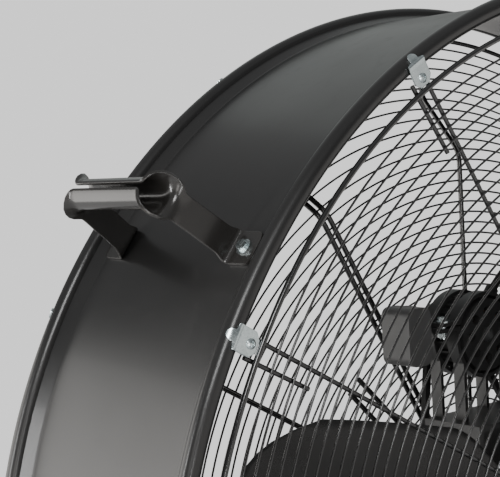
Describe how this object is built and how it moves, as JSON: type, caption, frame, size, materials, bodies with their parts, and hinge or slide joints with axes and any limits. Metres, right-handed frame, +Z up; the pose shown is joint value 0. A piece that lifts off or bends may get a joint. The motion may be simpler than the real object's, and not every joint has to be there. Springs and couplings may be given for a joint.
{
  "type": "drum fan",
  "caption": "Large black steel drum fan with wire guards, belt-driven propeller, side grips and a wheeled stand.",
  "frame": {"origin": "on the floor under the middle of the drum, which is the middle of the bottom of the bounding box", "axes": "+Z up, the fan axis runs along Y and the air leaves towards -Y, +X towards the wheels"},
  "size_m": [1.1228, 0.38, 1.1966],
  "materials": {
    "drum_paint": "satin powder coat",
    "guard_wire": "gloss powder coat on wire",
    "disc_paint": "satin powder coat",
    "zinc": "bright zinc plate",
    "handle_paint": "semi-gloss powder coat",
    "frame_paint": "satin powder coat",
    "steel": "turned steel",
    "blade_paint": "satin powder coat",
    "pulley_iron": "machined grooves",
    "belt_rubber": "matte",
    "motor_paint": "satin",
    "winding": "varnished winding",
    "grey_plastic": "moulded",
    "black_plastic": "moulded",
    "black_rubber": "matte",
    "tyre_rubber": "matte",
    "box_paint": "satin powder coat"
  },
  "bodies": {
    "root": {"drum_shell": "drum_paint", "front_guard_frame": "guard_wire", "front_guard_rings": "guard_wire", "front_centre_disc": "disc_paint", "rear_guard_frame": "guard_wire", "rear_guard_rings": "guard_wire", "front_clips": "zinc", "rear_clips": "zinc", "front_clip_screws": "zinc", "rear_clip_screws": "zinc", "front_clip_nuts": "zinc", "rear_clip_nuts": "zinc", "handle_left": "handle_paint", "handle_right": "handle_paint", "handle_bolts": "zinc", "handle_nuts": "zinc", "cross_frame": "frame_paint", "cross_frame_bolts": "zinc", "bearing_housings": "frame_paint", "bearings": "steel", "bearing_bolts": "zinc", "drive_belt": "belt_rubber", "motor_housing": "motor_paint", "motor_front_bell": "motor_paint", "motor_rear_bell": "motor_paint", "motor_stator": "winding", "motor_cradle": "frame_paint", "motor_band": "frame_paint", "motor_clamp_bolts": "zinc", "capacitor_box": "grey_plastic", "motor_lead_gland": "black_plastic", "motor_lead": "black_rubber", "lead_grommet": "black_rubber", "switch_box": "box_paint", "switch_cover": "box_paint", "rotary_switch": "black_plastic", "cable_gland": "black_plastic", "foot_leg": "frame_paint", "foot_bar": "frame_paint", "foot_bar_caps": "black_plastic", "rubber_feet": "black_rubber", "foot_bolts": "zinc", "axle_leg": "frame_paint", "leg_bolts": "zinc", "axle": "steel", "axle_spacers": "frame_paint", "axle_caps": "steel"},
    "rotor": {"fan_shaft": "steel", "fan_spider": "blade_paint", "fan_blades": "blade_paint", "blade_rivets": "steel", "driven_pulley": "pulley_iron"},
    "armature": {"motor_rotor": "steel", "motor_shaft": "steel", "motor_pulley": "pulley_iron"},
    "knob": {"switch_knob": "black_plastic"},
    "wheel_front": {"front_wheel_rim": "grey_plastic", "front_wheel_tyre": "tyre_rubber"},
    "wheel_rear": {"rear_wheel_rim": "grey_plastic", "rear_wheel_tyre": "tyre_rubber"}
  },
  "joints": [
    {"name": "fan_spin", "type": "hinge", "parent": "root", "child": "rotor", "pos_m": [0, 0, 0.625], "axis": [0, -1, 0], "continuous": true},
    {"name": "motor_spin", "type": "hinge", "parent": "root", "child": "armature", "pos_m": [-0.052, 0, 0.839], "axis": [0, -1, 0], "continuous": true},
    {"name": "switch_turn", "type": "hinge", "parent": "root", "child": "knob", "pos_m": [0.24816, 0, 1.17486], "axis": [0.4384, 0, 0.8988], "range_deg": [0, 90]},
    {"name": "wheel_front_spin", "type": "hinge", "parent": "root", "child": "wheel_front", "pos_m": [0.35, -0.165, 0.08], "axis": [0, 1, 0], "continuous": true},
    {"name": "wheel_rear_spin", "type": "hinge", "parent": "root", "child": "wheel_rear", "pos_m": [0.35, 0.165, 0.08], "axis": [0, 1, 0], "continuous": true}
  ],
  "couplings": [
    {"joint": "motor_spin", "follows": "fan_spin", "ratio": 4.1429}
  ]
}
